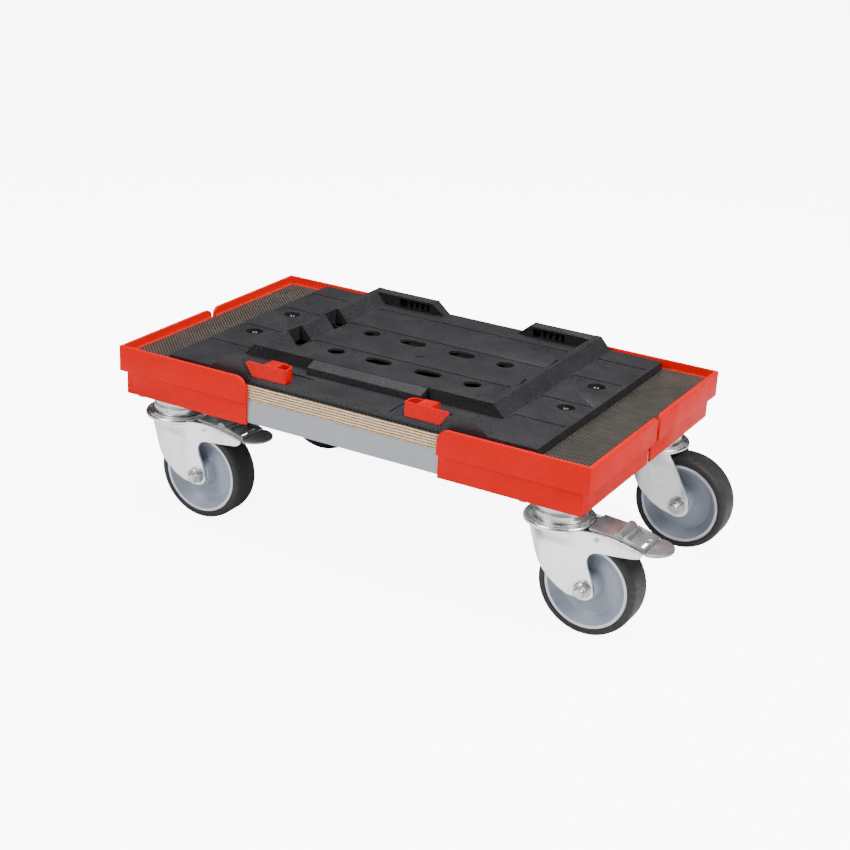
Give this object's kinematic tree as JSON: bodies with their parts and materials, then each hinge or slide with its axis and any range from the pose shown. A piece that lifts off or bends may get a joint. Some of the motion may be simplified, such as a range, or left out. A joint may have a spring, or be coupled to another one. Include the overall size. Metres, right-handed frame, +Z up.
{
  "type": "transport dolly",
  "caption": "Low plywood platform on swivel casters with corner buffers and a latching adapter plate for a stackable tool case.",
  "frame": {"origin": "centre of the bounding box at floor level, with every caster trailing to +X", "axes": "+X along the platform's long side, the way the casters trail; -Y the side with the latches and the braked casters; +Z up"},
  "size_m": [0.603, 0.313, 0.1957],
  "materials": {
    "red_plastic": "fine-grained red moulded plastic",
    "latch_plastic": "smooth bright red moulded plastic",
    "black_plastic": "grained black moulded plastic",
    "coated_plywood": "birch plywood with a dark wire-mesh phenolic film on its faces and bare layered edges",
    "painted_steel": "light grey satin paint",
    "zinc_plated_steel": "bright zinc plate",
    "wheel_plastic": "blue-grey moulded plastic",
    "grey_rubber": "dark grey non-marking rubber"
  },
  "bodies": {
    "dolly": {"deck_panel": "coated_plywood", "front_rail": "painted_steel", "rear_rail": "painted_steel", "corner_buffer_front_left": "red_plastic", "corner_buffer_front_right": "red_plastic", "corner_buffer_rear_left": "red_plastic", "corner_buffer_rear_right": "red_plastic", "case_adapter_plate": "black_plastic", "adapter_screw_front_left": "zinc_plated_steel", "adapter_screw_front_right": "zinc_plated_steel", "adapter_screw_rear_left": "zinc_plated_steel", "adapter_screw_rear_right": "zinc_plated_steel", "mount_plate_front_left": "zinc_plated_steel", "mount_plate_front_right": "zinc_plated_steel", "mount_plate_rear_left": "zinc_plated_steel", "mount_plate_rear_right": "zinc_plated_steel", "ball_race_front_left": "zinc_plated_steel", "ball_race_front_right": "zinc_plated_steel", "ball_race_rear_left": "zinc_plated_steel", "ball_race_rear_right": "zinc_plated_steel", "kingpin_front_left": "zinc_plated_steel", "kingpin_front_right": "zinc_plated_steel", "kingpin_rear_left": "zinc_plated_steel", "kingpin_rear_right": "zinc_plated_steel"},
    "fork_body_front_left": {"fork_front_left": "zinc_plated_steel", "axle_bolt_front_left": "zinc_plated_steel", "axle_nut_front_left": "zinc_plated_steel", "axle_sleeve_front_left": "zinc_plated_steel", "pedal_pin_front_left": "zinc_plated_steel"},
    "wheel_body_front_left": {"wheel_rim_front_left": "wheel_plastic", "tyre_front_left": "grey_rubber"},
    "pedal_body_front_left": {"brake_pedal_front_left": "zinc_plated_steel"},
    "fork_body_front_right": {"fork_front_right": "zinc_plated_steel", "axle_bolt_front_right": "zinc_plated_steel", "axle_nut_front_right": "zinc_plated_steel", "axle_sleeve_front_right": "zinc_plated_steel", "pedal_pin_front_right": "zinc_plated_steel"},
    "wheel_body_front_right": {"wheel_rim_front_right": "wheel_plastic", "tyre_front_right": "grey_rubber"},
    "pedal_body_front_right": {"brake_pedal_front_right": "zinc_plated_steel"},
    "fork_body_rear_left": {"fork_rear_left": "zinc_plated_steel", "axle_bolt_rear_left": "zinc_plated_steel", "axle_nut_rear_left": "zinc_plated_steel", "axle_sleeve_rear_left": "zinc_plated_steel"},
    "wheel_body_rear_left": {"wheel_rim_rear_left": "wheel_plastic", "tyre_rear_left": "grey_rubber"},
    "fork_body_rear_right": {"fork_rear_right": "zinc_plated_steel", "axle_bolt_rear_right": "zinc_plated_steel", "axle_nut_rear_right": "zinc_plated_steel", "axle_sleeve_rear_right": "zinc_plated_steel"},
    "wheel_body_rear_right": {"wheel_rim_rear_right": "wheel_plastic", "tyre_rear_right": "grey_rubber"},
    "latch_body_left": {"latch_left": "latch_plastic"},
    "latch_body_right": {"latch_right": "latch_plastic"}
  },
  "joints": [
    {"name": "swivel_front_left", "type": "hinge", "parent": "dolly", "child": "fork_body_front_left", "pos_m": [-0.257, -0.1145, 0.12], "axis": [0, 0, 1], "continuous": true},
    {"name": "wheel_roll_front_left", "type": "hinge", "parent": "fork_body_front_left", "child": "wheel_body_front_left", "pos_m": [-0.219, -0.1145, 0.05], "axis": [0, 1, 0], "continuous": true},
    {"name": "brake_front_left", "type": "hinge", "parent": "fork_body_front_left", "child": "pedal_body_front_left", "pos_m": [-0.21, -0.1145, 0.103], "axis": [0, 1, 0], "range_deg": [0, 11]},
    {"name": "swivel_front_right", "type": "hinge", "parent": "dolly", "child": "fork_body_front_right", "pos_m": [0.187, -0.1145, 0.12], "axis": [0, 0, 1], "continuous": true},
    {"name": "wheel_roll_front_right", "type": "hinge", "parent": "fork_body_front_right", "child": "wheel_body_front_right", "pos_m": [0.225, -0.1145, 0.05], "axis": [0, 1, 0], "continuous": true},
    {"name": "brake_front_right", "type": "hinge", "parent": "fork_body_front_right", "child": "pedal_body_front_right", "pos_m": [0.234, -0.1145, 0.103], "axis": [0, 1, 0], "range_deg": [0, 11]},
    {"name": "swivel_rear_left", "type": "hinge", "parent": "dolly", "child": "fork_body_rear_left", "pos_m": [-0.257, 0.1145, 0.12], "axis": [0, 0, 1], "continuous": true},
    {"name": "wheel_roll_rear_left", "type": "hinge", "parent": "fork_body_rear_left", "child": "wheel_body_rear_left", "pos_m": [-0.219, 0.1145, 0.05], "axis": [0, 1, 0], "continuous": true},
    {"name": "swivel_rear_right", "type": "hinge", "parent": "dolly", "child": "fork_body_rear_right", "pos_m": [0.187, 0.1145, 0.12], "axis": [0, 0, 1], "continuous": true},
    {"name": "wheel_roll_rear_right", "type": "hinge", "parent": "fork_body_rear_right", "child": "wheel_body_rear_right", "pos_m": [0.225, 0.1145, 0.05], "axis": [0, 1, 0], "continuous": true},
    {"name": "latch_slide_left", "type": "slide", "parent": "dolly", "child": "latch_body_left", "axis": [1, 0, 0], "range_m": [0, 0.014], "stiffness_N_per_m": 300},
    {"name": "latch_slide_right", "type": "slide", "parent": "dolly", "child": "latch_body_right", "axis": [-1, 0, 0], "range_m": [0, 0.014], "stiffness_N_per_m": 300}
  ]
}
